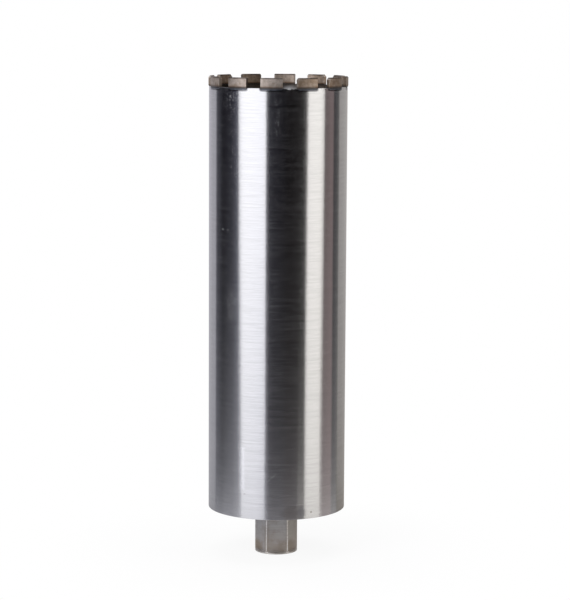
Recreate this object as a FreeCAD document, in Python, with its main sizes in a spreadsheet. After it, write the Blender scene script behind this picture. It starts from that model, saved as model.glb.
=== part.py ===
import FreeCAD, Part
import math
import os
import Sketcher

# Wet diamond core bit for a hand-held or rig-mounted drill.
# It stands on its drive hub, and the cutting crown is at the top.
# Lengths are in millimetres. The origin is the centre of the hub's lower end face, with +Z up the axis.
# Angles round the axis are counted from -Y, where the middle of one hub flat is, towards +X.

driving_sizes = {
    "crown_diameter": 152.0,      # over the outside of the segments: the hole that the bit cuts
    "crown_angle": -8.0,          # from the middle of the front hub flat to the middle of the first segment
    "segment_length": 24.0,       # along the outer arc
    "segment_thickness": 4.0,     # radially: the width of the kerf
    "segment_height": 11.0,       # from the tube's rim to the cutting face
    "segment_edge_chamfer": 0.5,  # worn edge of the cutting face and of the ends
    "side_clearance": 0.7,        # how far a segment stands proud of the tube on the outside
    "tube_wall": 2.5,
    "tube_length": 464.5,
    "tube_lip_chamfer": 0.4,      # broken edge at the closed end of the tube
    "weld_relief_depth": 0.35,    # ground hollow below each segment, where the weld was dressed
    "weld_relief_height": 2.6,
    "weld_relief_margin": 1.6,    # how far the hollow runs on past each end of the segment
    "weld_relief_corner": 1.2,
    "plate_thickness": 8.0,
    "hub_length": 51.0,           # from the lower end face to the end plate
    "hub_bar_diameter": 46.7,     # round bar that the hub is turned from
    "hub_across_flats": 41.0,
    "hub_face_collar": 1.8,       # round shoulder below the flats, at the threaded end
    "hub_flat_length": 40.2,      # above the flats the bar stays round up to the end plate
    "hub_end_chamfer": 0.8,
    "spigot_diameter": 36.0,      # the stepped end that locates the hub in the end plate
    "spigot_stand": 1.5,          # how far the spigot stands out inside the tube
    "thread_minor_diameter": 28.2,
    "thread_depth": 38.0,
    "thread_mouth_diameter": 33.0,
    "water_hole_diameter": 16.0,
    "hub_weld_leg": 5.0,
}

segment_count = 12
hub_side_count = 6

# Places that follow from the driving sizes, as formulas for the sheet
crown_radius = "sizes.crown_diameter / 2"
crown_inner_radius = "(sizes.crown_diameter / 2 - sizes.segment_thickness)"
tube_radius = "(sizes.crown_diameter / 2 - sizes.side_clearance)"
tube_inner_radius = f"({tube_radius} - sizes.tube_wall)"
plate_level = "sizes.hub_length"
rim_level = "(sizes.hub_length + sizes.tube_length)"
spigot_top = "(sizes.hub_length + sizes.plate_thickness + sizes.spigot_stand)"
bar_radius = "sizes.hub_bar_diameter / 2"
thread_radius = "sizes.thread_minor_diameter / 2"
mouth_radius = "sizes.thread_mouth_diameter / 2"
water_radius = "sizes.water_hole_diameter / 2"
spigot_radius = "sizes.spigot_diameter / 2"
segment_span = f"(sizes.segment_length / ({crown_radius}) * 180 / pi)"
relief_span = f"((sizes.segment_length + 2 * sizes.weld_relief_margin) / ({crown_radius}) * 180 / pi)"
drill_point_slope = "tan(31 deg)"     # a drill ground to 118 degrees leaves this cone at the end of a hole

doc = FreeCAD.newDocument("diamond_core_bit")
sheet = doc.addObject("Spreadsheet::Sheet", "sizes")
for row, (alias, size) in enumerate(driving_sizes.items(), start=1):
    sheet.set(f"A{row}", alias)
    sheet.set(f"B{row}", str(size))
    sheet.setAlias(f"B{row}", alias)
doc.recompute()


def value_of(formula):
    return float(sheet.evalExpression(formula))


def new_body(name):
    body = doc.addObject("PartDesign::Body", name)
    body.Label = name
    return body


def origin_feature(body, role):
    return next(item for item in body.Origin.OriginFeatures if item.Role == role)


# A turn about +Z: its angle only holds the place of the formula that is bound to it
def turn_about_z():
    placeholder_angle = 1
    turn = FreeCAD.Rotation(FreeCAD.Vector(0, 0, 1), placeholder_angle)
    return FreeCAD.Placement(FreeCAD.Vector(), turn)


def new_sketch(body, name, plane_role, level=None, turn=None):
    sketch = body.newObject("Sketcher::SketchObject", name)
    sketch.AttachmentSupport = [(origin_feature(body, plane_role), "")]
    sketch.MapMode = "FlatFace"
    if turn:
        sketch.AttachmentOffset = turn_about_z()
        sketch.setExpression("AttachmentOffset.Rotation.Angle", turn)
    if level:
        sketch.setExpression("AttachmentOffset.Base.z", level)
    return sketch


def bind(sketch, constraint, name, formula):
    number = sketch.addConstraint(constraint)
    sketch.renameConstraint(number, name)
    sketch.setExpression(f"Constraints.{name}", formula)


# A half section: corners as (radius, height) formulas, in order round the outline.
# A radius of None puts the corner on the axis, and a height of None puts it on the ground line.
def half_section(sketch, corners):
    points = []
    for radius, height in corners:
        across = value_of(radius) if radius else 0
        up = value_of(height) if height else 0
        points.append(FreeCAD.Vector(across, up, 0))
    last = len(points) - 1
    for number, point in enumerate(points):
        following = points[0] if number == last else points[number + 1]
        sketch.addGeometry(Part.LineSegment(point, following), False)
    for number in range(len(points)):
        following = 0 if number == last else number + 1
        sketch.addConstraint(Sketcher.Constraint("Coincident", number, 2, following, 1))
    for number, (radius, height) in enumerate(corners):
        if radius:
            across = Sketcher.Constraint("DistanceX", -1, 1, number, 1, points[number].x)
            bind(sketch, across, f"radius_{number}", radius)
        else:
            sketch.addConstraint(Sketcher.Constraint("PointOnObject", number, 1, -2))
        if height:
            up = Sketcher.Constraint("DistanceY", -1, 1, number, 1, points[number].y)
            bind(sketch, up, f"height_{number}", height)
        else:
            sketch.addConstraint(Sketcher.Constraint("PointOnObject", number, 1, -1))


# A curved bar seen from above: two arcs about the axis, closed by two radial ends, centred on -Y
def curved_bar(sketch, inner_formula, outer_formula, span_formula):
    inner = value_of(inner_formula)
    outer = value_of(outer_formula)
    half = math.radians(value_of(span_formula)) / 2
    centre = FreeCAD.Vector(0, 0, 0)
    up = FreeCAD.Vector(0, 0, 1)
    south = -math.pi / 2
    for radius in (outer, inner):
        circle = Part.Circle(centre, up, radius)
        sketch.addGeometry(Part.ArcOfCircle(circle, south - half, south + half), False)
    outer_arc, inner_arc = 0, 1
    arcs = [sketch.Geometry[outer_arc], sketch.Geometry[inner_arc]]
    sketch.addGeometry(Part.LineSegment(arcs[1].StartPoint, arcs[0].StartPoint), False)
    sketch.addGeometry(Part.LineSegment(arcs[1].EndPoint, arcs[0].EndPoint), False)
    start_side, end_side = 2, 3
    for arc in (outer_arc, inner_arc):
        sketch.addConstraint(Sketcher.Constraint("Coincident", arc, 3, -1, 1))
    for side, arc_end in ((start_side, 1), (end_side, 2)):
        sketch.addConstraint(Sketcher.Constraint("Coincident", side, 1, inner_arc, arc_end))
        sketch.addConstraint(Sketcher.Constraint("Coincident", side, 2, outer_arc, arc_end))
        sketch.addConstraint(Sketcher.Constraint("PointOnObject", -1, 1, side))
    sketch.addConstraint(Sketcher.Constraint("Symmetric", outer_arc, 1, outer_arc, 2, -2))
    bind(sketch, Sketcher.Constraint("Radius", outer_arc, outer), "outer_radius", outer_formula)
    bind(sketch, Sketcher.Constraint("Radius", inner_arc, inner), "inner_radius", inner_formula)
    bind(sketch, Sketcher.Constraint("Angle", outer_arc, 2 * half), "span", span_formula)


def turned(body, name, sketch, kind="PartDesign::Revolution"):
    feature = body.newObject(kind, name)
    feature.Profile = sketch
    feature.ReferenceAxis = (sketch, ["V_Axis"])
    feature.Angle = 360
    return feature


def turned_copies(body, name, feature, count):
    pattern = body.newObject("PartDesign::PolarPattern", name)
    pattern.Originals = [feature]
    pattern.Axis = (origin_feature(body, "Z_Axis"), [""])
    pattern.Angle = 360
    pattern.Occurrences = count
    body.Tip = pattern
    return pattern


def edges_where(shape, test):
    return [f"Edge{number}" for number, edge in enumerate(shape.Edges, start=1) if test(edge)]


# The barrel: a plain steel tube, with a ground hollow in its outside below each segment
def make_barrel_tube():
    body = new_body("barrel_tube")
    wall = new_sketch(body, "tube_wall_section", "XZ_Plane")
    half_section(wall, [
        (tube_inner_radius, plate_level),
        (f"{tube_radius} - sizes.tube_lip_chamfer", plate_level),
        (tube_radius, f"{plate_level} + sizes.tube_lip_chamfer"),
        (tube_radius, rim_level),
        (tube_inner_radius, rim_level),
    ])
    turned(body, "tube_wall", wall)
    doc.recompute()
    whole_volume = body.Shape.Volume

    outline = new_sketch(body, "weld_relief_outline", "XY_Plane", rim_level, "sizes.crown_angle")
    curved_bar(outline, f"{tube_radius} - sizes.weld_relief_depth", crown_radius, relief_span)
    relief = body.newObject("PartDesign::Pocket", "weld_relief")
    relief.Profile = outline
    relief.setExpression("Length", "sizes.weld_relief_height")
    doc.recompute()
    one_relief = whole_volume - body.Shape.Volume
    reliefs = turned_copies(body, "weld_reliefs", relief, segment_count)
    doc.recompute()
    assert whole_volume - reliefs.Shape.Volume > one_relief > 0, "the weld reliefs are not all cut"

    floor_level = value_of(f"{rim_level} - sizes.weld_relief_height")
    depth = value_of("sizes.weld_relief_depth")

    def is_relief_corner(edge):
        heights = [vertex.Z for vertex in edge.Vertexes]
        is_level = all(abs(level - floor_level) < 0.001 for level in heights)
        return is_level and abs(edge.Length - depth) < 0.001

    rounding = body.newObject("PartDesign::Fillet", "weld_relief_corners")
    rounding.Base = (reliefs, edges_where(reliefs.Shape, is_relief_corner))
    rounding.setExpression("Radius", "sizes.weld_relief_corner")
    body.Tip = rounding
    return body


# The closed end: a disc set flush inside the tube, bored for the hub's spigot
def make_end_plate():
    body = new_body("end_plate")
    section = new_sketch(body, "plate_section", "XZ_Plane")
    plate_top = f"{plate_level} + sizes.plate_thickness"
    half_section(section, [
        (spigot_radius, plate_level),
        (tube_inner_radius, plate_level),
        (tube_inner_radius, plate_top),
        (spigot_radius, plate_top),
    ])
    turned(body, "plate_disc", section)
    return body


# The drive hub: turned from round bar, then milled to a hexagon that leaves a narrow strip of the bar
# on each corner, tapped from its lower end and drilled through for the flushing water
def make_drive_hub():
    body = new_body("drive_hub")
    blank = new_sketch(body, "hub_blank_section", "XZ_Plane")
    half_section(blank, [
        (None, None),
        (f"{bar_radius} - sizes.hub_end_chamfer", None),
        (bar_radius, "sizes.hub_end_chamfer"),
        (bar_radius, plate_level),
        (spigot_radius, plate_level),
        (spigot_radius, spigot_top),
        (None, spigot_top),
    ])
    turned(body, "hub_blank", blank)
    doc.recompute()
    blank_volume = body.Shape.Volume

    bore = new_sketch(body, "hub_bore_section", "XZ_Plane")
    drill_point = f"sizes.thread_depth + ({thread_radius} - {water_radius}) * {drill_point_slope}"
    half_section(bore, [
        (None, None),
        (mouth_radius, None),
        (thread_radius, f"{mouth_radius} - {thread_radius}"),
        (thread_radius, "sizes.thread_depth"),
        (water_radius, drill_point),
        (water_radius, spigot_top),
        (None, spigot_top),
    ])
    turned(body, "hub_bore", bore, "PartDesign::Groove")
    doc.recompute()
    bored_volume = body.Shape.Volume
    assert bored_volume < blank_volume, "the hub is not bored"

    # One pass of the milling cutter, seen from the side, then turned round the hub for the other flats
    cutter = new_sketch(body, "hub_flat_section", "YZ_Plane")
    flat_top = "sizes.hub_face_collar + sizes.hub_flat_length"
    half_section(cutter, [
        ("sizes.hub_across_flats / 2", "sizes.hub_face_collar"),
        ("sizes.hub_bar_diameter", "sizes.hub_face_collar"),
        ("sizes.hub_bar_diameter", flat_top),
        ("sizes.hub_across_flats / 2", flat_top),
    ])
    flat = body.newObject("PartDesign::Pocket", "hub_flat")
    flat.Profile = cutter
    flat.Midplane = True
    flat.setExpression("Length", "2 * sizes.hub_bar_diameter")
    doc.recompute()
    one_flat = bored_volume - body.Shape.Volume
    flats = turned_copies(body, "hub_flats", flat, hub_side_count)
    doc.recompute()
    assert bored_volume - flats.Shape.Volume > one_flat > 0, "the hub flats are not all milled"
    return body


# The fillet weld that holds the hub's round collar to the end plate
def make_hub_weld():
    body = new_body("hub_weld")
    section = new_sketch(body, "hub_weld_section", "XZ_Plane")
    half_section(section, [
        (bar_radius, f"{plate_level} - sizes.hub_weld_leg"),
        (f"{bar_radius} + sizes.hub_weld_leg", plate_level),
        (bar_radius, plate_level),
    ])
    turned(body, "hub_weld_bead", section)
    return body


# A cutting segment: a curved sintered block that sits face to face on the tube's rim
def make_segment(number):
    body = new_body(f"segment_{number:02d}")
    outline = new_sketch(body, f"segment_outline_{number:02d}", "XY_Plane", rim_level)
    curved_bar(outline, crown_inner_radius, crown_radius, segment_span)
    block = body.newObject("PartDesign::Pad", f"segment_block_{number:02d}")
    block.Profile = outline
    block.setExpression("Length", "sizes.segment_height")
    doc.recompute()

    foot_level = value_of(rim_level)

    def is_above_foot(edge):
        return max(vertex.Z for vertex in edge.Vertexes) > foot_level + 0.001

    wear = body.newObject("PartDesign::Chamfer", f"segment_worn_edges_{number:02d}")
    wear.Base = (block, edges_where(block.Shape, is_above_foot))
    wear.setExpression("Size", "sizes.segment_edge_chamfer")
    body.Tip = wear

    body.Placement = turn_about_z()
    angle = f"sizes.crown_angle + {number - 1} * 360 / {segment_count}"
    body.setExpression("Placement.Rotation.Angle", angle)
    return body


pieces = [make_barrel_tube(), make_end_plate(), make_drive_hub(), make_hub_weld()]
for number in range(1, segment_count + 1):
    pieces.append(make_segment(number))
doc.recompute()

for item in doc.Objects:
    assert not {"Invalid", "Error"} & set(item.State), f"{item.Name} failed: {item.State}"
for piece in pieces:
    assert not piece.Shape.isNull() and piece.Shape.isValid(), f"{piece.Label} has no sound shape"
    assert len(piece.Shape.Solids) == 1, f"{piece.Label} is not one solid"

os.makedirs("parts", exist_ok=True)
for piece in pieces:
    piece.Shape.exportStep(f"parts/{piece.Label}.step")
    print(piece.Label, round(piece.Shape.Volume / 1000, 2), "cm3")
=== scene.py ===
import math
import bpy
from mathutils import Matrix, Vector, noise


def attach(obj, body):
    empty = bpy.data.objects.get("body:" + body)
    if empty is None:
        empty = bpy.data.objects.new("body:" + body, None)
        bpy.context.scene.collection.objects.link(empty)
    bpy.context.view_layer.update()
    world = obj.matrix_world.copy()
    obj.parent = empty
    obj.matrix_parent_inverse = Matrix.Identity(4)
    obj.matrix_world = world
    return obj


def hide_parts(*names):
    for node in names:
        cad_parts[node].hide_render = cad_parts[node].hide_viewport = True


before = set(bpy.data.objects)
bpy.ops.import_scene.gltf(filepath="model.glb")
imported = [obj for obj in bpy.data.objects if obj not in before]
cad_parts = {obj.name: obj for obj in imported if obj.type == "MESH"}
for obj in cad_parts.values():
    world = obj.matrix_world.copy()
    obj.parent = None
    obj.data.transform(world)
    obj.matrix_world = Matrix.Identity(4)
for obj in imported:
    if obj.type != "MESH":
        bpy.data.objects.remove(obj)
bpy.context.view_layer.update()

mm = 0.001  # sizes below are in millimetres, angles in degrees
print("frame loaded")

# Angles round the axis are counted from the front hub flat (-Y) towards +X


def around(radius, angle, height):
    turn = math.radians(angle)
    return Vector((radius * math.sin(turn), -radius * math.cos(turn), height)) * mm


def circle(radius, height, count):
    return [around(radius, number * 360 / count, height) for number in range(count)]


# A colour as it looks on the screen, 0 to 255
def screenColour(*values):
    colour = []
    for value in values:
        share = value / 255
        colour.append(share / 12.92 if share <= 0.04045 else ((share + 0.055) / 1.055) ** 2.4)
    return colour + [1]


def between(first, last, share):
    return first + (last - first) * share


# 0 at low, 1 at high and a soft run between them
def ease(low, high, value):
    share = min(max((value - low) / (high - low), 0), 1)
    return share * share * (3 - 2 * share)


# Short ways to write shader nodes, in the tree of the material or world that was started last. A source is a
# socket or a plain value.

current = {}


def startTree(owner):
    owner.use_nodes = True
    current["tree"] = owner.node_tree
    return owner


def startMaterial(name):
    return startTree(bpy.data.materials.new(name))


def put(socket, source):
    if isinstance(source, bpy.types.NodeSocket):
        current["tree"].links.new(source, socket)
    else:
        socket.default_value = source


# Gives sources to the sockets of a node, by their names
def feed(node, sources):
    for name, source in sources.items():
        put(node.inputs[name], source)


# The same for a node that the tree starts with
def feedNamed(name, sources):
    feed(current["tree"].nodes[name], sources)


def addNode(kind, sources=(), **settings):
    node = current["tree"].nodes.new("ShaderNode" + kind)
    for setting, value in settings.items():
        setattr(node, setting, value)
    for socket, source in zip(node.inputs, sources):
        put(socket, source)
    return node


def calc(operation, *sources, clamp=False):
    return addNode("Math", sources, operation=operation, use_clamp=clamp).outputs[0]


def plus(first, *others):
    for other in others:
        first = calc("ADD", first, other)
    return first


def times(first, *others):
    for other in others:
        first = calc("MULTIPLY", first, other)
    return first


def vectorCalc(operation, *sources):
    return addNode("VectorMath", sources, operation=operation).outputs


# Turns a value between low and high into one between start and end, with soft ends
def fade(value, low, high, start=0, end=1):
    sources = (value, low, high, start, end)
    return addNode("MapRange", sources, interpolation_type="SMOOTHSTEP").outputs[0]


# The same for a length: low and high are in millimetres, counted from level
def fadeAlong(value, low, high, start=0, end=1, level=0):
    return fade(value, (level + low) * mm, (level + high) * mm, start, end)


# The same for a noise, between the two values that most of it lies between
def overGrain(value, start=0, end=1):
    return fade(value, 0.3, 0.7, start, end)


# A colour is a socket or three screen values
def blendColour(share, first, second, mode="MIX"):
    node = addNode("Mix", data_type="RGBA", blend_type=mode)
    put(node.inputs[0], share)
    for number, colour in ((6, first), (7, second)):
        put(node.inputs[number], screenColour(*colour) if isinstance(colour, tuple) else colour)
    return node.outputs[2]


# Lays colours over the first one, each with its own share. A colour is a name in look or a socket.
def layered(look, first, *layers):
    colour = look.get(first, first)
    for share, name in layers:
        colour = blendColour(share, colour, look.get(name, name))
    return colour


def objectPlace():
    return addNode("TexCoord").outputs["Object"]


def axisParts():
    return addNode("SeparateXYZ", (objectPlace(),)).outputs


def axisDistance():
    sides = axisParts()
    return calc("SQRT", plus(calc("POWER", sides[0], 2), calc("POWER", sides[1], 2)))


# A value that the mesh keeps for each of its points
def pointValue(name):
    return addNode("Attribute", attribute_name=name).outputs


def scaled(size, moved):
    scale = [1 / (value * mm) for value in size]
    return addNode("Mapping", (objectPlace(), moved, (0, 0, 0), scale)).outputs[0]


# Noise with blotches as large as size says along X, Y and Z. Below, each noise is a row of these values.
def grain(size, detail=2, rough=0.5, shift=0):
    node = addNode("TexNoise")
    place = scaled(size, (shift, shift, shift))
    feed(node, {"Vector": place, "Scale": 1, "Detail": detail, "Roughness": rough})
    return node.outputs["Fac"]


spotCore = 0.35


# A soft round or long mark at one place on the surface: 1 in its core, 0 outside it
def spot(centre, size):
    moved = [-part / (value * mm) for part, value in zip(centre, size)]
    distance = vectorCalc("LENGTH", scaled(size, moved))["Value"]
    return fade(distance, spotCore, 1, 1, 0)


# A mark is its angle and height on the surface, half its width, half its height and how strong it is
def markShare(radius, mark):
    angle, height, halfWidth, halfHeight, strength = mark
    return times(spot(around(radius, angle, height), (halfWidth, halfWidth, halfHeight)), strength)


# The roughness follows the noise wear, and bump gives pits and lumps as deep as look says, in millimetres
def finishMaterial(material, look, colour, wear, bump):
    node = addNode("Bump")
    feed(node, {"Strength": 1, "Distance": look["bumpDepth"] * mm, "Height": bump})
    roughness = overGrain(wear, *look["roughness"])
    feedNamed("Principled BSDF", {"Base Color": colour, "Roughness": roughness, "Normal": node.outputs[0],
                                  "Metallic": look["metallic"]})
    return material


# Short ways to make the meshes


def addObject(name, data):
    added = bpy.data.objects.new(name, data)
    bpy.context.collection.objects.link(added)
    return added


def makePiece(name, points, faces, materials, paint=None, sharpAngle=30):
    mesh = bpy.data.meshes.new(name)
    mesh.from_pydata(points, [], faces)
    for material in materials:
        mesh.materials.append(material)
    if paint:
        mesh.polygons.foreach_set("material_index", paint)
    mesh.shade_smooth()
    mesh.set_sharp_from_angle(angle=math.radians(sharpAngle))
    mesh.update()
    return addObject(name, mesh)


# Joins rings of points, outside upwards and inside downwards, into one closed skin.
# A ring is (material number, points), and its number paints the faces up to the next ring.
def skinRings(name, rings, materials, sharpAngle=30):
    count = len(rings[0][1])
    points = [point for paint, ring in rings for point in ring]
    faces = []
    paints = []
    for row, (paint, ring) in enumerate(rings):
        start = row * count
        above = (row + 1) % len(rings) * count
        for column in range(count):
            following = (column + 1) % count
            faces.append((start + column, start + following, above + following, above + column))
            paints.append(paint[column] if isinstance(paint, list) else paint)
    return makePiece(name, points, faces, materials, paints, sharpAngle)


def setPointValues(piece, name, values, kind="FLOAT", field="value"):
    piece.data.attributes.new(name, kind, "POINT").data.foreach_set(field, values)


def finishPiece(piece, node):
    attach(piece, "root")
    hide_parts(node)


# Camera, from a fit of the tube's and the hub's outline in the photograph

camera = {
    "lens": 133.03,
    "sensor": 36,
    "distance": 2.4175,  # metres from the tube's axis
    "height": 0.60316,  # metres above the floor
    "farthest": 60,  # metres that it sees
    "azimuth": -2.45, "pitch": 7.5888, "yaw": 0.2004, "roll": 0.3134,
}


def makeCamera():
    data = bpy.data.cameras.new("camera")
    data.lens = camera["lens"]
    data.sensor_width = camera["sensor"]
    data.clip_end = camera["farthest"]
    viewer = addObject("camera", data)
    bpy.context.scene.camera = viewer
    azimuth = math.radians(camera["azimuth"])
    away = Vector((math.sin(azimuth), -math.cos(azimuth), 0)) * camera["distance"]
    turn = Matrix.Rotation(azimuth - math.radians(camera["yaw"]), 4, "Z")
    tilt = Matrix.Rotation(math.radians(90 - camera["pitch"]), 4, "X")
    roll = Matrix.Rotation(math.radians(camera["roll"]), 4, "Z")
    viewer.matrix_world = Matrix.Translation(away + Vector((0, 0, camera["height"]))) @ turn @ tilt @ roll


# Studio: white surroundings, soft lamps, and cards that stand round the bit to be seen in the steel only

studio = {
    "ambient": 0.35,
    "steelShare": 0.60,  # how much of a card's light the steel gives back
    "cardColumns": 8,
    "floorRadius": 1900, "floorSides": 96, "floorColour": (246, 246, 247), "floorRoughness": 0.9,
    "floorGlow": (60, 300, 0.91, 1),  # between these radii the floor turns into the plain background
    "lampTarget": (0, 0, 0.25),  # metres
}

# From the bit's foot outwards and up: radius, height, share of the table's own colour, share of the lean
cardProfile = [
    (90, 0.5, 1, 1), (200, 1, 1, 1),
    (260, 1, 0.7, 1), (330, 2, 0.34, 1),
    (430, 2, 0.215, 1), (620, 3, 0.124, 0.95),
    (1000, 10, 0.0645, 0.9), (1450, 30, 0.0245, 0.75),
    (1600, 110, 0.008, 0.53), (1600, 235, 0, 0.36),
    (1600, 500, 0, 0), (1600, 3200, 0, 0),
]

# Where one card ends and the next begins, in degrees from the camera and positive to its right, and by how
# many degrees that edge leans over at the foot
cardBorders = [(-180, 0), (-125, -1), (-104, 0), (-82, 4), (-69.5, 8), (-34, 0), (-19.8, 0), (-11, 0),
               (14, 0), (38, -1.8), (50.8, -2.7), (82.8, -4.4), (105.6, 0), (122.4, 1), (180, 0)]

# Each card at its left and its right edge: how it looks in the steel, how the table in front of it looks
# there, and how early that sets in (1 late, 0.2 early)
cards = [
    ((160, 159, 165), (151, 150, 156), (134, 134, 137), (134, 134, 137), (0.25, 0.27)),
    ((66, 66, 73), (12, 12, 17), (154, 154, 159), (154, 154, 159), (0.74, 0.71)),
    ((9, 9, 15), (31, 31, 39), (168, 168, 173), (168, 168, 173), (0.76, 0.52)),
    ((31, 31, 39), (77, 78, 89), (177, 177, 181), (177, 177, 181), (0.52, 0.48)),
    ((264, 264, 266), (260, 260, 264), (198, 198, 203), (198, 198, 203), (0.2, 0.125)),
    ((260, 260, 264), (259, 259, 264), (198, 198, 203), (177, 177, 183), (0.125, 0.135)),
    ((24, 24, 35), (19, 19, 26), (165, 164, 170), (139, 137, 141), (0.45, 0.87)),
    ((19, 19, 26), (1, 1, 3), (139, 137, 140), (139, 137, 140), (0.87, 0.95)),
    ((1, 0, 1), (5, 4, 4), (140, 136, 137), (140, 136, 137), (0.95, 0.88)),
    ((5, 4, 4), (7, 6, 5), (176, 172, 169), (176, 172, 169), (0.85, 0.8)),
    ((239, 236, 231), (246, 243, 237), (188, 185, 180), (188, 185, 180), (0.3, 0.3)),
    ((87, 79, 78), (118, 104, 103), (167, 161, 159), (167, 161, 159), (0.68, 0.7)),
    ((48, 48, 50), (84, 82, 82), (163, 161, 160), (163, 161, 160), (0.75, 0.75)),
    ((144, 141, 138), (150, 147, 145), (112, 107, 101), (112, 107, 101), (0.36, 0.38)),
]

# Each lamp: its name, where it stands (metres), its size, its power in watts and its colour
lamps = [
    ("keyLamp", (-1.5, -1.7, 1.5), (1.4, 1.8), 36, (0.97, 0.98, 1)),
    ("fillLamp", (2, -0.8, 1.3), (0.8, 1.6), 7, (1, 0.98, 0.94)),
    ("topLamp", (0, 0.3, 2.6), (2.2, 2.2), 30, (1, 1, 1)),
]


# 1 where the camera, a gloss or a see-through ray looks, which is where the plain white background shows
def seenAsBackground():
    path = addNode("LightPath").outputs
    straight = calc("MAXIMUM", path["Is Camera Ray"], path["Is Glossy Ray"])
    return calc("MAXIMUM", straight, path["Is Transmission Ray"])


def makeWorld():
    world = bpy.data.worlds.new("studioAir")
    bpy.context.scene.world = startTree(world)
    level = fade(seenAsBackground(), 0, 1, studio["ambient"], 1)
    feedNamed("Background", {"Color": (1, 1, 1, 1), "Strength": level})


def makeFloor():
    material = startMaterial("paleFloor")
    colour = screenColour(*studio["floorColour"])
    feedNamed("Principled BSDF", {"Base Color": colour, "Roughness": studio["floorRoughness"],
                                  "Specular IOR Level": 0})
    share = times(fadeAlong(axisDistance(), *studio["floorGlow"]), seenAsBackground())
    glow = addNode("Emission", ((1, 1, 1, 1),))
    surface = current["tree"].nodes["Principled BSDF"].outputs[0]
    mix = addNode("MixShader", (share, surface, glow.outputs[0]))
    feedNamed("Material Output", {"Surface": mix.outputs[0]})
    points = circle(studio["floorRadius"], 0, studio["floorSides"])
    floor = makePiece("floor", points, [list(range(len(points)))], [material])


# Where on a card the tube mirrors a direction, so that an edge stays upright in the steel near the foot too
def mirroredAngle(direction, reach):
    sideStep = tube["radius"] / reach * math.sin(math.radians(direction / 2))
    return camera["azimuth"] + direction - math.degrees(math.asin(sideStep))


def makeCards():
    material = startMaterial("studioCard")
    light = addNode("Emission", (pointValue("glow")["Color"], 1 / studio["steelShare"]))
    feedNamed("Material Output", {"Surface": light.outputs[0]})
    columnCount = studio["cardColumns"]
    rowCount = len(cardProfile)
    faces = []
    for column in range(columnCount):
        for row in range(rowCount - 1):
            corner = column * rowCount + row
            faces.append((corner, corner + 1, corner + rowCount + 1, corner + rowCount))
    for number, (*looks, setIns) in enumerate(cards, start=1):
        points = []
        colours = []
        (start, leanStart), (end, leanEnd) = cardBorders[number - 1:number + 1]
        channels = list(zip(*[screenColour(*look) for look in looks]))
        for column in range(columnCount + 1):
            share = column / columnCount
            direction = between(start, end, share)
            lean = between(leanStart, leanEnd, share)
            setIn = between(*setIns, share)
            for radius, height, tableShare, leanShare in cardProfile:
                points.append(around(radius, mirroredAngle(direction + lean * leanShare, radius), height))
                for left, right, tableLeft, tableRight in channels:
                    own = between(left, right, share)
                    below = between(tableLeft, tableRight, share)
                    colours.append(between(own, below, tableShare ** setIn))
        piece = makePiece(f"card{number:02d}", points, faces, [material])
        setPointValues(piece, "glow", colours, "FLOAT_COLOR", "color")
        piece.visible_camera = False
        piece.visible_diffuse = False
        piece.visible_shadow = False


def makeLamps():
    for name, place, size, power, colour in lamps:
        data = bpy.data.lights.new(name, "AREA")
        data.shape = "RECTANGLE"
        data.size, data.size_y = size
        data.energy = power
        data.color = colour
        light = addObject(name, data)
        light.location = place
        towards = Vector(studio["lampTarget"]) - light.location
        light.rotation_euler = towards.to_track_quat("-Z", "Y").to_euler()
        light.visible_glossy = False  # the steel shows the cards instead


# Barrel tube: brushed outside, ground hollows below the segments, raw inside

tube = {
    "radius": 75.3, "innerRadius": 72.8, "bottom": 51, "rim": 515.5,
    "lipBevel": 0.15, "rimBevel": 0.12, "rimRadii": (74.4, 73.6),
    "reliefDepth": 0.25, "reliefHeight": 2.35,
    "reliefHalfSpan": 13.6,  # along the tube's outside, from the middle of a segment
    "reliefEnds": 5.2,  # length of its rounded ends
    "reliefSlope": 0.9,  # width of the sloped border of a hollow
    "burnReach": (0.1, 1.8),  # heat tint below a hollow: full up to here, gone from here
    "burnEnds": (-2, 0.8),  # the same past its ends
    "rowStep": 6,
    "rowsTo": 14,  # the even rows end this far below the rim
    "rimRows": [6, 4.8, 4.2, 3.7, 3.3, 2.9, 2.6, 2.4, 2.2, 2, 1.8, 1.6, 1.4, 1.1, 0.7, 0.35],
    "insideTop": 3, "insideStep": 20,  # the inside's second row below the rim, and the step of the others
    # columns on each side of a segment's middle; those in the middle list count from the hollow's end
    "innerColumns": [1, 2, 3, 4, 5, 6, 7, 8.3],
    "endColumns": [-4.6, -4, -3.4, -2.8, -2.3, -1.8, -1.4, -1, -0.65, -0.3, 0, 0.4, 0.9],
    "outerColumns": [15.2, 16.4, 18],
}

# A shallow dent: its middle, half its width round the tube, its top and bottom, its depth
dent = {
    "angle": -33.9, "halfWidth": 4.9, "top": 129.5, "bottom": 82, "depth": 0.042,
    "topRun": (1, -1.5),  # it sets in between these two heights from its top
    "bottomRun": 22, "topRows": (-1.5, -0.75, 0, 1),
}

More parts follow.
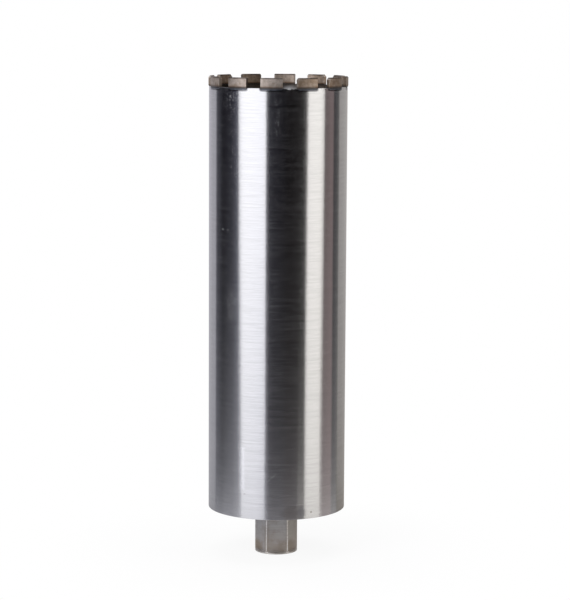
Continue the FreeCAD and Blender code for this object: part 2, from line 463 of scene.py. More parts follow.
# Here and below, four values in a row are the low, high, start and end of a fade
brushed = {
    "light": (208, 208, 210), "dark": (197, 197, 199), "dentHighlightColour": (232, 232, 236), "darkTint": (92, 92, 96),
    "stain": (150, 146, 142), "bluishPatch": (140, 142, 152), "roughness": (0.195, 0.235),
    "anisotropic": 0.94,
    "turnOfGloss": 0.25,  # the gloss runs across the brushing
    "bumpDepth": 0.007,
    "streaks": ((60, 60, 0.95), 2, 0.6),  # length round the tube and height of the brushing
    "lines": ((24, 24, 0.75), 2, 0.5, 4),
    "streakPart": 0.55, "linePart": 0.45,  # what each of the two gives to the brushing
    "mottle": ((2.2, 2.2, 1.6), 3, 0.6, 17), "patches": ((24, 24, 14), 3, 0.5, 23),
    "ragged": ((6, 6, 1.4), 2, 0.5, 11),  # short waves that fray the edges of the bands
    "raggedShare": 7,
    "brushingTone": (0.36, 0.64, 0, 0.82),
    "mottleTone": 0.18,
    "burnPatches": (0.3, 0.6, 0.75, 1), "streakSpan": (0.5, 0.66), "streakPatches": (0.3, 0.65, 0.5, 1),
    "streakShare": 0.027,  # how much of the steel scatters light along a scratch
    "shortStreaks": ((13, 13, 0.9), 2, 0.5, 41), "shortStreakSpan": (0.55, 0.66),
    "shortStreakShare": 0.026,
    "dustShare": 0.8,  # the same at a speck of dust
    "dustEverywhere": 0.05, "dustSpacing": 1.5, "dustSize": 0.5, "dustSpan": (0.3, 0.75),
    "dustCore": 0.4,  # share of a speck that is full
    "burrSpan": (0.46, 0.56),
}

# Painted highlight: the brighter strip over the dent, where its tilted surface mirrors brighter light
dentHighlight = {
    "angle": -32.6, "halfWidth": 5.2, "halfHeight": 10000, "share": 0.34,
    "top": (128.3, 130.3, 1, 0), "bottom": (80.5, 85.5, 0, 1),
}

# Marks on the tube, each a row as markShare reads it
tubeMarks = {
    "nick": [(-53.7, 363.9, 1.3, 1.2, 0.30), (-47.4, 363.5, 1.1, 1, 0.30), (-44.9, 506.7, 1.6, 1.5, 0.28),
             (-44.7, 497, 1.3, 1.2, 0.18), (-58.2, 222.9, 1.4, 1.3, 0.22), (-43.5, 283, 9, 24, 0.035),
             (-35.2, 128, 2.2, 2.8, 0.2)],
    # the third stain and the bluish patch make a darker, bluish patch near the tube's foot
    "stain": [(27.6, 58, 1.3, 1.5, 0.9), (-29.6, 78.2, 1.3, 1, 0.5), (12, 58, 18, 11, 0.42)],
    "bluishPatch": [(18.3, 58.5, 6.5, 10, 0.55)],
    "burr": [(7.4, 515.3, 6.5, 1.9, 0.9)],
    "dust": [(-42.5, 501, 16, 26, 0.8), (-40, 440, 14, 80, 0.6), (-43, 281, 12, 30, 0.45),
             (-6.5, 485, 12, 44, 0.42), (-8.5, 380, 8, 150, 0.25), (-7, 290, 12, 30, 0.15)],
}

# One fine scratch that crosses the brushing
scratch = {"from": (-11, 92.8), "to": (-2.6, 101.8), "near": (0.08, 0.8), "fullTo": 0.8, "share": 0.17}


def tubeMarkShare(kind):
    return plus(0, *[markShare(tube["radius"], mark) for mark in tubeMarks[kind]])


# 1 along the scratch: near its line and between its two ends
def scratchShare():
    start = around(tube["radius"], *scratch["from"])
    end = around(tube["radius"], *scratch["to"])
    half = (end - start).length / 2
    away = vectorCalc("SUBTRACT", objectPlace(), (start + end) / 2)[0]
    cross = vectorCalc("CROSS_PRODUCT", away, (end - start).normalized())[0]
    near = fadeAlong(vectorCalc("LENGTH", cross)["Value"], *scratch["near"], 1, 0)
    reach = vectorCalc("LENGTH", away)["Value"]
    return times(near, fade(reach, scratch["fullTo"] * half, half, 1, 0))


# Painted highlight over the dent: even inside, with quick ends
def dentHighlightShare():
    height = axisParts()[2]
    width = dentHighlight["halfWidth"]
    side = spot(around(tube["radius"], dentHighlight["angle"], 0), (width, width, dentHighlight["halfHeight"]))
    top = fadeAlong(height, *dentHighlight["top"])
    bottom = fadeAlong(height, *dentHighlight["bottom"])
    return times(side, times(top, bottom, dentHighlight["share"]))


# How much of the steel scatters light where it is scratched, dusty or nicked
def scatterShare(brushing, mottle, patches):
    specks = addNode("TexVoronoi")
    feed(specks, {"Vector": objectPlace(), "Scale": 1 / (brushed["dustSpacing"] * mm)})
    reach = brushed["dustSize"] / brushed["dustSpacing"]
    speckle = fade(specks.outputs["Distance"], brushed["dustCore"] * reach, reach, 1, 0)
    speckle = times(speckle, fade(specks.outputs["Color"], *brushed["dustSpan"]))
    dusty = plus(tubeMarkShare("dust"), brushed["dustEverywhere"])
    patched = fade(patches, *brushed["streakPatches"])
    streaks = times(fade(brushing, *brushed["streakSpan"]), patched, brushed["streakShare"])
    shortStreaks = fade(grain(*brushed["shortStreaks"]), *brushed["shortStreakSpan"])
    return plus(
        streaks,
        times(shortStreaks, brushed["shortStreakShare"]),
        times(speckle, times(dusty, brushed["dustShare"])),
        times(tubeMarkShare("burr"), fade(mottle, *brushed["burrSpan"])),
        tubeMarkShare("nick"),
        times(scratchShare(), scratch["share"]),
    )


def makeBrushedSteel():
    material = startMaterial("brushedSteel")
    streaks = grain(*brushed["streaks"])
    lines = grain(*brushed["lines"])
    brushing = plus(times(streaks, brushed["streakPart"]), times(lines, brushed["linePart"]))
    mottle = grain(*brushed["mottle"])
    patches = grain(*brushed["patches"])
    tone = plus(fade(brushing, *brushed["brushingTone"]), overGrain(mottle, 0, brushed["mottleTone"]))
    burn = times(pointValue("burn")["Fac"], fade(patches, *brushed["burnPatches"]))
    colour = layered(
        brushed, "dark",
        (tone, "light"),
        (tubeMarkShare("stain"), "stain"),
        # a darker, bluish patch near the tube's foot
        (tubeMarkShare("bluishPatch"), "bluishPatch"),
        # painted highlight over the dent
        (dentHighlightShare(), "dentHighlightColour"),
        (burn, "darkTint"),
    )
    metallic = calc("SUBTRACT", 1, scatterShare(brushing, mottle, patches), clamp=True)
    ragged = times(grain(*brushed["ragged"]), brushed["raggedShare"])
    tangent = addNode("Tangent", direction_type="RADIAL", axis="Z")
    feedNamed("Principled BSDF", {"Tangent": tangent.outputs[0], "Anisotropic": brushed["anisotropic"],
                                  "Anisotropic Rotation": brushed["turnOfGloss"]})
    return finishMaterial(material, brushed | {"metallic": metallic}, colour, streaks, plus(brushing, ragged))


seam = {
    "light": (100, 102, 110), "dark": (58, 60, 66), "line": (160, 167, 178), "edge": (106, 103, 102),
    "lineDepth": 1.9,  # the painted highlight line lies this far below the rim
    "lineHalf": 0.7,
    "highlightPatches": (0.35, 0.6, 0.2, 0.9), "edgeRun": (-1, -0.1, 0, 0.75), "scratches": ((3, 3, 0.7), 4, 0.6),
    "worn": ((5, 5, 5), 2, 0.5, 31),
    "metallic": 0.9, "roughness": (0.34, 0.52), "bumpDepth": 0.05,
}


# The ground and heat-tinted hollow where a segment's weld was dressed, with a painted highlight line along it
def makeWeldSeam():
    material = startMaterial("dressedWeldSeam")
    height = axisParts()[2]
    scratches = grain(*seam["scratches"])
    worn = grain(*seam["worn"])
    middle = tube["rim"] - seam["lineDepth"]
    above = fadeAlong(height, 0, seam["lineHalf"], 1, 0, level=middle)
    below = fadeAlong(height, -seam["lineHalf"], 0, level=middle)
    colour = layered(
        seam, "dark",
        (scratches, "light"),
        # painted highlight line along the hollow
        (times(above, below, fade(worn, *seam["highlightPatches"])), "line"),
        (fadeAlong(height, *seam["edgeRun"], level=tube["rim"]), "edge"),
    )
    return finishMaterial(material, seam, colour, scratches, scratches)


inside = {
    "light": (134, 128, 123), "dark": (104, 98, 93), "drawnTone": (0.25, 0.75),
    "deep": (206, 201, 196),  # painted light: brighter steel deep inside the tube, where little light reaches
    "deepBelow": (455, 500, 1, 0), "deepDrawn": (0.5, 0.9), "stain": (98, 78, 62),
    "stained": (0.5, 0.72, 0, 0.6), "shadeAndTint": (44, 37, 32),
    "shadeReach": (-58, 46, 0.9, 0),  # painted shade, from the left side of the hole to its middle
    "shadeTop": (486, 507, 0.1, 1),  # it thins out below the rim
    "clean": (206, 205, 208),
    "cleanAt": (167.3, 508.5),  # a patch that was wiped clean: angle and height
    "cleanSize": (12, 12, 6.5), "cleanWear": (0.38, 0.6, 0.25, 0.8),
    "tint": (513.4, 515, 0, 0.4),  # heat tint just below the rim
    "drawn": ((1.2, 1.2, 60), 4), "blotches": ((14, 14, 22), 4, 0.6, 9),
    "metallic": 0.85, "roughness": (0.38, 0.62), "bumpDepth": 0.03,
}


# The drawn, unpolished inside of the tube, with painted light deep down and painted shade on its left side
# near the rim
def makeRawSteel():
    material = startMaterial("rawTubeInside")
    sides = axisParts()
    drawn = grain(*inside["drawn"])
    blotches = grain(*inside["blotches"])
    # painted light deep inside the tube
    deep = times(fadeAlong(sides[2], *inside["deepBelow"]), overGrain(drawn, *inside["deepDrawn"]))
    # painted shade on the left of the inside wall, strongest near the rim
    shadeAndTint = times(fadeAlong(sides[0], *inside["shadeReach"]), fadeAlong(sides[2], *inside["shadeTop"]))
    clean = spot(around(tube["innerRadius"], *inside["cleanAt"]), inside["cleanSize"])
    colour = layered(
        inside, "dark",
        (fade(drawn, *inside["drawnTone"]), "light"),
        (deep, "deep"),
        (fade(blotches, *inside["stained"]), "stain"),
        (shadeAndTint, "shadeAndTint"),
        (times(clean, fade(blotches, *inside["cleanWear"])), "clean"),
        (fadeAlong(sides[2], *inside["tint"]), "shadeAndTint"),
    )
    return finishMaterial(material, inside, colour, blotches, drawn)


sawn = {
    "light": (205, 205, 208), "dark": (110, 108, 110), "pits": ((0.7, 0.7, 0.7), 4, 0.7),
    "pitTone": (0.4, 0.62),
    "metallic": 1, "roughness": (0.3, 0.55), "bumpDepth": 0.15,
}


# The sawn and wiped end face of the tube between the segments
def makeRimSteel():
    material = startMaterial("sawnRim")
    pits = grain(*sawn["pits"])
    colour = blendColour(fade(pits, *sawn["pitTone"]), sawn["dark"], sawn["light"])
    return finishMaterial(material, sawn, colour, pits, pits)


# How far a place is outside the ground hollow's border, negative inside it. Along is measured round the tube
# from the segment's middle, below from the rim.
def hollowDistance(along, below):
    corner = tube["reliefHeight"]
    overSide = (abs(along) - tube["reliefHalfSpan"]) * corner / tube["reliefEnds"] + corner
    return math.hypot(max(overSide, 0), max(below, 0)) + min(max(overSide, below), 0) - corner


def reliefDepthAt(along, below):
    return tube["reliefDepth"] * ease(0, tube["reliefSlope"], -hollowDistance(along, below))


def burnAt(along, below):
    first, last = tube["burnEnds"]
    overEnd = 1 - ease(tube["reliefHalfSpan"] + first, tube["reliefHalfSpan"] + last, abs(along))
    return overEnd * (1 - ease(*tube["burnReach"], hollowDistance(along, below)))


def dentDepthAt(angle, height):
    side = (angle - dent["angle"]) * math.radians(1) * tube["radius"] / dent["halfWidth"]
    if abs(side) >= 1:
        return 0
    first, last = dent["topRun"]
    fromTop = ease(dent["top"] + first, dent["top"] + last, height)
    fromBottom = ease(dent["bottom"], dent["bottom"] + dent["bottomRun"], height)
    return dent["depth"] * (1 - side * side) ** 2 * fromTop * fromBottom


def tubeAngles():
    endColumns = [tube["reliefHalfSpan"] + border for border in tube["endColumns"]]
    half = tube["innerColumns"] + endColumns + tube["outerColumns"]
    along = [-distance for distance in reversed(half)] + half
    sectorAngles = [distance / (math.radians(1) * tube["radius"]) for distance in along]
    sector = 360 / segments["count"]
    return [(segments["firstAngle"] + sector * number + angle, distance)
            for number in range(segments["count"]) for angle, distance in zip(sectorAngles, along)]


# Material numbers: 0 brushed, 1 dressed weld, 2 raw inside, 3 sawn rim
def makeTube(materials):
    radius = tube["radius"]
    innerRadius = tube["innerRadius"]
    rim = tube["rim"]
    columns = tubeAngles()
    heights = [tube["bottom"] + tube["lipBevel"]]
    while heights[-1] < rim - tube["rowsTo"]:
        heights.append(heights[-1] + tube["rowStep"])
    heights += [dent["top"] + row for row in dent["topRows"]]
    heights = sorted(heights) + [rim - below for below in tube["rimRows"] + [tube["rimBevel"]]]
    rings = []
    burn = []
    for height in heights:
        ring = []
        paint = []
        below = rim - height
        for angle, along in columns:
            relief = reliefDepthAt(along, below)
            ring.append(around(radius - relief - dentDepthAt(angle, height), angle, height))
            burn.append(burnAt(along, below))
            paint.append(1 if relief > 0.5 * tube["reliefDepth"] else 0)
        rings.append((paint, ring))
    for reach in (radius - tube["rimBevel"], *tube["rimRadii"], innerRadius + tube["rimBevel"]):
        ring = [around(min(reach, radius - reliefDepthAt(along, 0)), angle, rim) for angle, along in columns]
        rings.append((3, ring))
    insideHeights = [rim - tube["rimBevel"], rim - tube["insideTop"]]
    while insideHeights[-1] > tube["bottom"] + 1.5 * tube["insideStep"]:
        insideHeights.append(insideHeights[-1] - tube["insideStep"])
    for height in insideHeights + [tube["bottom"]]:
        rings.append((2, [around(innerRadius, angle, height) for angle, along in columns]))
    rings.append((0, [around(radius - tube["lipBevel"], angle, tube["bottom"]) for angle, along in columns]))
    piece = skinRings("brushedTube", rings, materials)
    setPointValues(piece, "burn", burn + [0] * (len(piece.data.vertices) - len(burn)))
    finishPiece(piece, "barrel_tube")


# Cutting segments: sintered blocks with worn, rounded edges

segments = {
    "count": 12,
    "firstAngle": -8,
    "length": 24, "inner": 72, "outer": 76, "foot": 515.5, "top": 526.5,
    "edge": 0.5,  # rounding of the edges
    "cornerRun": 2,  # how far extra rounding runs out
    "outerRun": 1,
    "wearFull": 0.29,  # slope at which an edge counts as fully worn
    # extra rounding of each one's two top corners
    "cornerWear": [(0.5, 0.4), (3, 0.5), (4.6, 1.2), (1, 1.8), (1.6, 3.8), (4.4, 2.4),
                   (0.7, 0.7), (2, 1.8), (4.6, 3.4), (3.6, 3.6), (3.4, 1.6), (0.5, 0.4)],
    # extra rounding of each one's outer top edge
    "outerWear": [0, 0.1, 0.4, 1.5, 0.8, 0.3, 0.2, 0.3, 0.4, 2.6, 1, 0.1],
    "step": 0.5,
    "seedStep": 37,  # each one has its own grain and pits
    "grainDepth": 0.05, "grainScale": 1.3, "pitDepth": 0.10, "pitScale": 0.55, "pitSpan": (0.25, 0.7),
    "weldFoot": 1.3,  # height of the dressed weld at the foot
    "footInset": 0.45,
    "smallest": 0.02,  # the outside stays this far inside the solid
    # heat tint of each one, how deeply it is pitted, how bright it is (partly painted light and shade, partly
    # its own tone) and how dark its two end faces are (painted shade)
    "browning": [0.12, 0.75, 0.85, 0.85, 0.5, 0.65, 0.45, 1, 1, 0.4, 0.25, 0.1],
    "pits": [1, 1, 1.5, 1.5, 1.5, 1.5, 1, 1, 1.5, 3.5, 3.5, 1],
    "paintedLightAndTone": [1, 0.94, 0.9, 0.85, 1.25, 1.55, 1.45, 0.75, 1, 1.35, 1.15, 1],
    "endShade": [0.5, 0.2, 0, 0.3, 0.3, 0.4, 0.3, 0.15, 0.2, 0, 0.7, 1],
    "endFaceSpan": (0.5, 0.95),
}

bond = {
    "light": (196, 184, 176), "dark": (164, 152, 142), "brownLight": (174, 154, 136),
    "brownDark": (144, 124, 106), "poreAndShade": (84, 72, 62), "worn": (214, 208, 202), "top": (50, 43, 38),
    "orangeTinge": (150, 110, 74), "foot": (80, 75, 72),
    "shadedInnerFoot": (40, 34, 31),  # painted shade where the foot overhangs the inside of the tube
    "innerSide": (72.3, 72.8, 1, 0), "mottle": ((3.4, 3.4, 3.4), 5, 0.6),
    "fine": ((0.45, 0.45, 0.45), 2, 0.6, 7), "blotches": ((7, 7, 5), 3, 0.5, 13),
    "brownPatches": (0.4, 0.7, -0.1, 0.35), "pores": (0.62, 0.76, 0, 0.55), "glints": (0.38, 0.26, 0, 0.35),
    "topRun": (-1.7, -0.6),  # from the top
    "topPatches": (0.35, 0.65, 0.55, 0.95),
    "orangeRun": (0.3, 1.5, 1, 0),  # from the top of the dressed weld
    "orangePatches": (0.35, 0.6, 0.05, 0.4), "footRun": (-1.6, 1.6, 1, 0), "wearSpan": (0.2, 0.8),
    "wearPatches": (0.3, 0.5, 0.4, 1),
    "wearShare": 0.75,
    "metallic": 0.82, "roughness": (0.37, 0.53), "bumpDepth": 0.035,
}


def makeSinteredBond():
    material = startMaterial("sinteredBond")
    height = axisParts()[2]
    mottle = grain(*bond["mottle"])
    fine = grain(*bond["fine"])
    blotches = grain(*bond["blotches"])
    weldTop = segments["foot"] + segments["weldFoot"]
    tone = overGrain(mottle)
    brownPatches = fade(blotches, *bond["brownPatches"])
    brownShare = calc("ADD", pointValue("browning")["Fac"], brownPatches, clamp=True)
    top = fadeAlong(height, *bond["topRun"], level=segments["top"])
    orangeBand = fadeAlong(height, *bond["orangeRun"], level=weldTop)
    worn = times(fade(pointValue("wear")["Fac"], *bond["wearSpan"]),
                 fade(mottle, *bond["wearPatches"]), calc("SUBTRACT", 1, top, clamp=True))
    innerSide = fadeAlong(axisDistance(), *bond["innerSide"])
    colour = layered(
        bond, blendColour(tone, bond["dark"], bond["light"]),
        (brownShare, blendColour(tone, bond["brownDark"], bond["brownLight"])),
        (fade(fine, *bond["pores"]), "poreAndShade"),
        (fade(fine, *bond["glints"]), "worn"),
        (times(top, fade(blotches, *bond["topPatches"])), "top"),
        # an orange tinge just above the dressed weld
        (times(orangeBand, fade(blotches, *bond["orangePatches"])), "orangeTinge"),
        (times(worn, bond["wearShare"]), "worn"),
        # painted shade on the end faces, in the pore colour
        (pointValue("endFaceShade")["Fac"], "poreAndShade"),
        # the dressed weld at the foot, with painted shade on its inner side
        (fadeAlong(height, *bond["footRun"], level=weldTop),
         blendColour(innerSide, bond["foot"], bond["shadedInnerFoot"])),
    )
    # each segment's brightness: partly painted light and shade, partly its own tone
    colour = blendColour(1, colour, pointValue("paintedLightAndTone")["Color"], mode="MULTIPLY")
    return finishMaterial(material, bond, colour, fine, fine)


# Places along one side of a block: close together at its edges, even in between
def spread(length, edge, step):
    near = [0, 0.3 * edge, 0.65 * edge, edge]
    middle = length - 2 * edge
    count = max(1, round(middle / step))
    even = [edge + middle * number / count for number in range(1, count)]
    return near + even + [length - place for place in reversed(near)]


def roundedPoint(along, across, up, size, cornerWear, outerWear):
    length, width, height = size
    half = length / 2
    extra = cornerWear[0 if along < half else 1]
    reach = extra + segments["cornerRun"]
    cornerShare = ease(half - reach, half, abs(along - half)) * ease(height - reach, height, up)
    reach = outerWear + segments["outerRun"]
    outerShare = ease(width - reach, width, across) * ease(height - reach, height, up)
    sharp = segments["edge"]
    outerEdge = sharp + outerWear * outerShare
    edge = max(sharp + extra * cornerShare, outerEdge)
    clamped = Vector((
        min(max(along, edge), length - edge),
        min(max(across, sharp), width - outerEdge),
        min(up, height - edge),
    ))
    push = Vector((along, across, up)) - clamped
    if push.length < 1e-6:
        return clamped, Vector((0, 0, -1)), 0
    direction = push.normalized()
    steepest = max(abs(part) for part in direction)
    reach = min(edge, push.length) if steepest < 0.999 else push.length
    return clamped + direction * reach, direction, min((1 - steepest) / segments["wearFull"], 1)


def makeSegment(number, material):
    size = (segments["length"], segments["outer"] - segments["inner"], segments["top"] - segments["foot"])
    places = [spread(length, segments["edge"], segments["step"]) for length in size]
    right, back, top = [len(row) - 1 for row in places]
    middle = segments["firstAngle"] + 360 / segments["count"] * (number - 1)
    cornerWear = segments["cornerWear"][number - 1]
    outerWear = segments["outerWear"][number - 1]
    endShade = segments["endShade"][number - 1]
    pitDepth = segments["pitDepth"] * segments["pits"][number - 1]
    indexOf = {}
    points = []
    wear = []
    endFaceShade = []
    faces = []

    def corner(i, j, k):
        if (i, j, k) not in indexOf:
            at = (places[0][i], places[1][j], places[2][k])
            point, direction, worn = roundedPoint(*at, size, cornerWear, outerWear)
            seed = point + Vector((number * segments["seedStep"], 0, 0))
            depth = segments["grainDepth"] * (0.5 + 0.5 * noise.noise(seed * segments["grainScale"]))
            pit = noise.noise(seed * segments["pitScale"] + Vector((0, 50, 0)))
            depth += pitDepth * ease(*segments["pitSpan"], pit)
            if k == 0:
                depth = 0
            point = point - direction * depth
            inset = segments["footInset"] * ease(segments["weldFoot"] + 0.1, 0.2, point.z)
            point.y = min(point.y, size[1] - segments["smallest"] - inset)
            angle = middle + math.degrees((point.x - size[0] / 2) / segments["outer"])
            indexOf[(i, j, k)] = len(points)
            points.append(around(segments["inner"] + point.y, angle, segments["foot"] + point.z))
            wear.append(worn)
            # painted shade on the end faces
            endFaceShade.append(ease(*segments["endFaceSpan"], abs(direction.x)) * endShade)
        return indexOf[(i, j, k)]

    def addFace(*corners):
        faces.append([corner(*place) for place in corners])

    for i in range(right):
        for k in range(top):
            addFace((i, back, k), (i + 1, back, k), (i + 1, back, k + 1), (i, back, k + 1))
            addFace((i, 0, k + 1), (i + 1, 0, k + 1), (i + 1, 0, k), (i, 0, k))
        for j in range(back):
            addFace((i, j, 0), (i + 1, j, 0), (i + 1, j + 1, 0), (i, j + 1, 0))
            addFace((i, j + 1, top), (i + 1, j + 1, top), (i + 1, j, top), (i, j, top))
    for j in range(back):
        for k in range(top):
            addFace((0, j, k + 1), (0, j, k), (0, j + 1, k), (0, j + 1, k + 1))
            addFace((right, j, k), (right, j, k + 1), (right, j + 1, k + 1), (right, j + 1, k))
    piece = makePiece(f"cuttingSegment{number:02d}", points, faces, [material], sharpAngle=50)
    setPointValues(piece, "wear", wear)
    setPointValues(piece, "endFaceShade", endFaceShade)
    for name in ("browning", "paintedLightAndTone"):
        setPointValues(piece, name, [segments[name][number - 1]] * len(points))
    finishPiece(piece, f"segment_{number:02d}")


# Drive hub: turned bar with six milled flats, tapped from below

hub = {
    "barRadius": 23.35,
    "flatDistance": 20.5,
    "sides": 6,
    "collar": 1.8,  # round shoulder below the flats, and its rows: share of the flat, height from the collar
    "shoulder": [(0.1, -0.5), (0.5, 0), (0.9, 0.7)],
    "flatTop": 42,
    "flatRun": (1.4, 0.1),  # the flats' rows keep this far from their two ends
    "flatRows": 8,
    "top": 51,
    "endBevel": 0.3, "edgeSoftness": 0.10,
    "spigotRadius": 18, "spigotTop": 60.5, "spigotBevel": 0.4,
    "waterRadius": 8, "waterBevel": 0.5, "drillSlope": 31,
    "columns": [2.5, 7.5, 12.5, 17.5, 22.5, 26.5],  # on each side of a flat's middle, in degrees
    "edgeColumns": [-0.45, -0.15, 0.15, 0.45],  # round the flat's edge
    "lastColumn": 29.7,
}

thread = {
    "minorRadius": 14.1, "majorRadius": 15.875, "pitch": 3.629,
    "crest": 0.25,  # shares of the pitch
    "flank": 0.3125,
    "mouthRadius": 16.5, "mouthBevel": 0.2, "depth": 38, "runOut": 4, "rowsPerTurn": 14,
}

milled = {
    "light": (174, 172, 172), "dark": (164, 162, 162), "paintedLight": (206, 203, 200), "cool": (164, 163, 169),
    "warm": (150, 141, 127), "stain": (134, 121, 108), "darkTint": (148, 136, 127), "edge": (252, 248, 244),
    "passes": ((40, 40, 0.8), 3), "blotches": ((9, 9, 7), 4, 0.6, 3), "coolLightSide": (-12, -9, 0.6, 0),
    "warmLightSide": (9, 13, 0, 0.6), "stained": (0.46, 0.72, 0, 0.4), "darkerFoot": (2, 36, 0.55, 0),
    "paintedLightSides": (9, 14), "paintedLightTop": (12, 34, 0, 0.32), "paintedLightFoot": (0.8, 3.2, 0.65, 0),
    "ledgeLightFrom": (0.6, 1.3), "ledgeLightTo": (2.2, 3, 1, 0),
    "ledgeLightShare": 0.28,
    "metallic": 0.75, "roughness": (0.42, 0.58), "bumpDepth": 0.012,
}

# Stains on the hub's faces, in such rows too; the long narrow one at -30 degrees is painted shade that dims
# the highlight on the edge left of the front flat
hubStainsAndShade = [(-60, 6, 7, 7, 0.35), (-78, 7, 10, 9, 0.8), (58, 5, 9, 9, 0.6), (4, 4, 9, 9, 0.3),
             (-27, 22, 12, 12, 0.2), (-30, 20, 4, 45, 0.36), (24, 8, 11, 11, 0.35),
             (46, 8, 9, 9, 0.65), (-16, 9, 8, 8, 0.2)]


def makeMilledSteel():
    material = startMaterial("milledHubSteel")
    sides = axisParts()
    passes = grain(*milled["passes"])
    blotches = grain(*milled["blotches"])
    outerSide = fadeAlong(calc("ABSOLUTE", sides[0]), *milled["paintedLightSides"])
    colour = layered(
        milled, "dark",
        (overGrain(passes), "light"),
        # painted tint of the light: cooler on the left, warmer and browner on the right
        (fadeAlong(sides[0], *milled["coolLightSide"]), "cool"),
        (fadeAlong(sides[0], *milled["warmLightSide"]), "warm"),
        (fade(blotches, *milled["stained"]), "stain"),
        # darker and browner towards the hub's foot
        (fadeAlong(sides[2], *milled["darkerFoot"]), "darkTint"),
        # painted light on the upper side faces, against the shade under the tube, and at the foot, against
        # the shade by the floor
        (times(outerSide, fadeAlong(sides[2], *milled["paintedLightTop"])), "paintedLight"),
        (fadeAlong(sides[2], *milled["paintedLightFoot"]), "paintedLight"),
    )
    # stains, and painted shade on the edge left of the front flat
    for mark in hubStainsAndShade:
        colour = blendColour(markShare(hub["flatDistance"] + 1, mark), colour, milled["stain"])
    # painted light on the downward-facing ledge at the foot of the flats
    edge = times(fadeAlong(sides[2], *milled["ledgeLightFrom"]), fadeAlong(sides[2], *milled["ledgeLightTo"]))
    colour = blendColour(times(edge, milled["ledgeLightShare"]), colour, milled["edge"])
    return finishMaterial(material, milled, colour, blotches, passes)


turned = {"lines": ((20, 20, 0.4), 3), "metallic": 1, "bumpDepth": 0.01}
turnedBar = {"light": (200, 197, 194), "dark": (174, 171, 168), "roughness": (0.25, 0.35), **turned}
cutThread = {"light": (170, 168, 166), "dark": (132, 130, 128), "roughness": (0.27, 0.37), **turned}


def makeTurnedSteel(name, look):
    material = startMaterial(name)
    lines = grain(*look["lines"])
    colour = blendColour(overGrain(lines), look["dark"], look["light"])
    return finishMaterial(material, look, colour, lines, lines)


# Radius of the hub's outside at an angle: the nearer of the flat and the bar, with a slightly broken edge
def hubOutline(angle, milledShare):
    side = 360 / hub["sides"]
    fromFlat = (angle + side / 2) % side - side / 2
    flat = hub["flatDistance"] / math.cos(math.radians(fromFlat))
    gap = abs(flat - hub["barRadius"])
    softness = hub["edgeSoftness"]
    nearest = min(flat, hub["barRadius"]) - (max(softness - gap, 0) ** 2) / (4 * softness)
    return between(hub["barRadius"], nearest, milledShare)


# Radius of the internal thread: crest, flank, root and flank along one pitch
def threadRadiusAt(angle, height):
    place = (height / thread["pitch"] - angle / 360) % 1
    flank = thread["flank"]
    crest = thread["crest"]
    if place < crest:
        share = 0
    elif place < crest + flank:
        share = (place - crest) / flank
    elif place < 1 - flank:
        share = 1
    else:
        share = (1 - place) / flank
    share *= 1 - ease(thread["depth"] - thread["runOut"], thread["depth"] - 0.5, height)
    cut = between(thread["minorRadius"], thread["majorRadius"], share)
    return max(cut, thread["mouthRadius"] - height)


# Material numbers: 0 milled, 1 turned bar, 2 cut thread
def makeHub(materials):
    flatSide = math.degrees(math.acos(hub["flatDistance"] / hub["barRadius"]))
    half = hub["columns"] + [flatSide + border for border in hub["edgeColumns"]] + [hub["lastColumn"]]
    local = [-angle for angle in reversed(half)] + half
    angles = [number * 360 / hub["sides"] + angle for number in range(hub["sides"]) for angle in local]
    isFlat = [abs(angle) < flatSide + 0.1 for angle in local] * hub["sides"]
    following = isFlat[1:] + isFlat[:1]
    flatPaint = [0 if here and there else 1 for here, there in zip(isFlat, following)]

    def ring(radius, height):
        return [around(radius, angle, height) for angle in angles]

    def outline(milledShare, height):
        return [around(hubOutline(angle, milledShare), angle, height) for angle in angles]

    bar = hub["barRadius"]
    collar = hub["collar"]
    bevel = hub["endBevel"]
    water = hub["waterRadius"]
    spigot = hub["spigotRadius"]
    spigotTop = hub["spigotTop"]
    drillTop = thread["depth"] + (thread["minorRadius"] - water) * math.tan(math.radians(hub["drillSlope"]))
    rings = [
        (1, ring(thread["mouthRadius"] + thread["mouthBevel"], 0)),
        (0, ring(bar - bevel, 0)),
        (0, ring(bar - bevel * 0.3, bevel * 0.3)),
        (0, ring(bar, bevel)),
    ]
    rings += [(0, outline(share, collar + rise)) for share, rise in hub["shoulder"]]
    first, last = hub["flatRun"]
    for row in range(hub["flatRows"] + 1):
        height = collar + first + (hub["flatTop"] - collar - first - last) * row / hub["flatRows"]
        rings.append((flatPaint, outline(1, height)))
    rings += [
        (1, outline(0, hub["flatTop"])),
        (1, ring(bar, hub["top"])),
        (1, ring(spigot, hub["top"])),
        (1, ring(spigot, spigotTop - hub["spigotBevel"])),
        (1, ring(spigot - hub["spigotBevel"], spigotTop)),
        (1, ring(water + hub["waterBevel"], spigotTop)),
        (2, ring(water, spigotTop - hub["waterBevel"])),
        (2, ring(water, drillTop)),
        (2, ring(thread["minorRadius"], thread["depth"])),
    ]
    rowStep = thread["pitch"] / thread["rowsPerTurn"]
    for row in range(int((thread["depth"] - 0.3) / rowStep)):
        height = thread["depth"] - 0.2 - rowStep * row
        rings.append((2, [around(threadRadiusAt(angle, height), angle, height) for angle in angles]))
    rings.append((2, ring(thread["mouthRadius"], 0.1)))
    piece = skinRings("driveHub", rings, materials, sharpAngle=22)
    finishPiece(piece, "drive_hub")


# End plate: a turned disc inside the tube

plate = {
    "inner": 18, "outer": 72.8, "bottom": 51, "top": 59, "bevel": 0.5,
    "faceRings": (60, 45, 30), "columns": 192,
    "light": (168, 166, 163), "dark": (128, 126, 124), "stain": (126, 118, 108),
    "stained": (0.35, 0.75, 0, 0.6), "blotches": ((11, 11, 11), 4, 0.6),
    "grooveWidth": 0.45,
    "grooveDetail": 3,
    "metallic": 0.9, "roughness": (0.34, 0.55), "bumpDepth": 0.05,
}


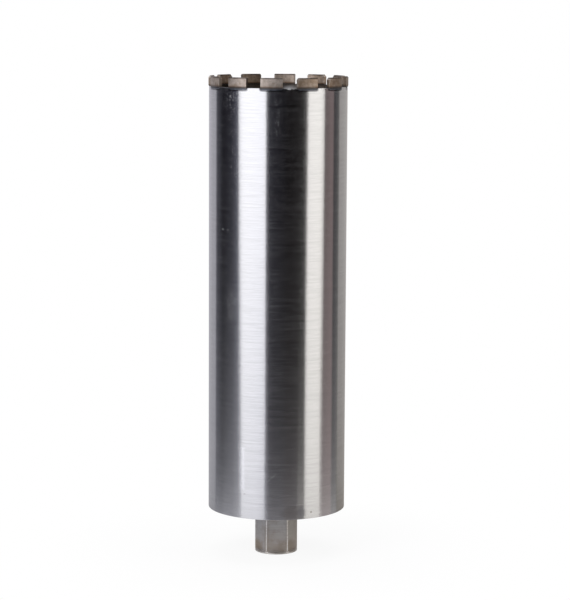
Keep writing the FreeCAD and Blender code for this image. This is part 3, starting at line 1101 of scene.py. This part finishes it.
def makePlateSteel():
    material = startMaterial("turnedPlate")
    grooves = addNode("TexNoise", noise_dimensions="1D")
    reach = times(axisDistance(), 1 / (plate["grooveWidth"] * mm))
    feed(grooves, {"W": reach, "Scale": 1, "Detail": plate["grooveDetail"]})
    grooves = grooves.outputs["Fac"]
    blotches = grain(*plate["blotches"])
    colour = layered(
        plate, "dark",
        (overGrain(grooves), "light"),
        (fade(blotches, *plate["stained"]), "stain"),
    )
    return finishMaterial(material, plate, colour, blotches, grooves)


def makePlate(material):
    inner, outer, bottom, top, bevel = [plate[name] for name in ("inner", "outer", "bottom", "top", "bevel")]
    profile = [
        (inner + bevel, bottom), (outer - bevel, bottom), (outer, bottom + bevel), (outer, top - bevel),
        *[(radius, top) for radius in (outer - bevel, *plate["faceRings"], inner + bevel)],
        (inner, top - bevel), (inner, bottom + bevel),
    ]
    rings = [(0, circle(radius, height, plate["columns"])) for radius, height in profile]
    piece = skinRings("endPlate", rings, [material])
    finishPiece(piece, "end_plate")


# Hub weld: one rippled bead round the collar

weld = {
    "collarRadius": 23.35, "leg": 5, "bottom": 46,
    "ripples": 64, "rippleDepth": 0.35, "rippleLean": 0.6, "bulge": 0.35,
    "slant": 0.7,  # the bead's face slopes by half a right angle
    "columnsPerRipple": 6, "sectionSteps": 9,
    "foot": (96, 84, 78), "head": (86, 88, 104), "glint": (150, 144, 138), "glints": (0.45, 0.7, 0, 0.6),
    "fine": ((0.8, 0.8, 0.8), 4, 0.65),
    "metallic": 0.9, "roughness": (0.32, 0.55), "bumpDepth": 0.08,
}


def makeWeldMetal():
    material = startMaterial("hubWeldMetal")
    fine = grain(*weld["fine"])
    colour = layered(
        weld, "foot",
        (fadeAlong(axisParts()[2], 0, weld["leg"], level=weld["bottom"]), "head"),
        (fade(fine, *weld["glints"]), "glint"),
    )
    return finishMaterial(material, weld, colour, fine, fine)


def makeWeld(material):
    columnCount = weld["ripples"] * weld["columnsPerRipple"]
    steps = weld["sectionSteps"]
    rings = []
    for step in range(steps + 1):
        share = step / steps
        middle = 4 * share * (1 - share)
        ring = []
        for number in range(columnCount):
            phase = (number / weld["columnsPerRipple"] + weld["rippleLean"] * middle) % 1
            out = weld["bulge"] * middle - weld["rippleDepth"] * middle * (1 - phase) ** 2
            radius = weld["collarRadius"] + weld["leg"] * share + weld["slant"] * out
            height = weld["bottom"] + weld["leg"] * share - weld["slant"] * out
            ring.append(around(radius, number * 360 / columnCount, height))
        rings.append((0, ring))
    rings.append((0, circle(weld["collarRadius"], weld["bottom"] + weld["leg"], columnCount)))
    piece = skinRings("hubWeldBead", rings, [material], sharpAngle=40)
    finishPiece(piece, "hub_weld")


makeCamera()
makeWorld()
makeFloor()
makeCards()
makeLamps()
print("studio ready")

makeTube([makeBrushedSteel(), makeWeldSeam(), makeRawSteel(), makeRimSteel()])
print("tube made")

sinteredBond = makeSinteredBond()
for number in range(1, segments["count"] + 1):
    makeSegment(number, sinteredBond)
print("segments made")

barSteel = makeTurnedSteel("turnedBarSteel", turnedBar)
threadSteel = makeTurnedSteel("cutThreadSteel", cutThread)
makeHub([makeMilledSteel(), barSteel, threadSteel])
makePlate(makePlateSteel())
makeWeld(makeWeldMetal())
print("hub, plate and weld made")

scene = bpy.context.scene
scene.view_settings.view_transform = "Standard"
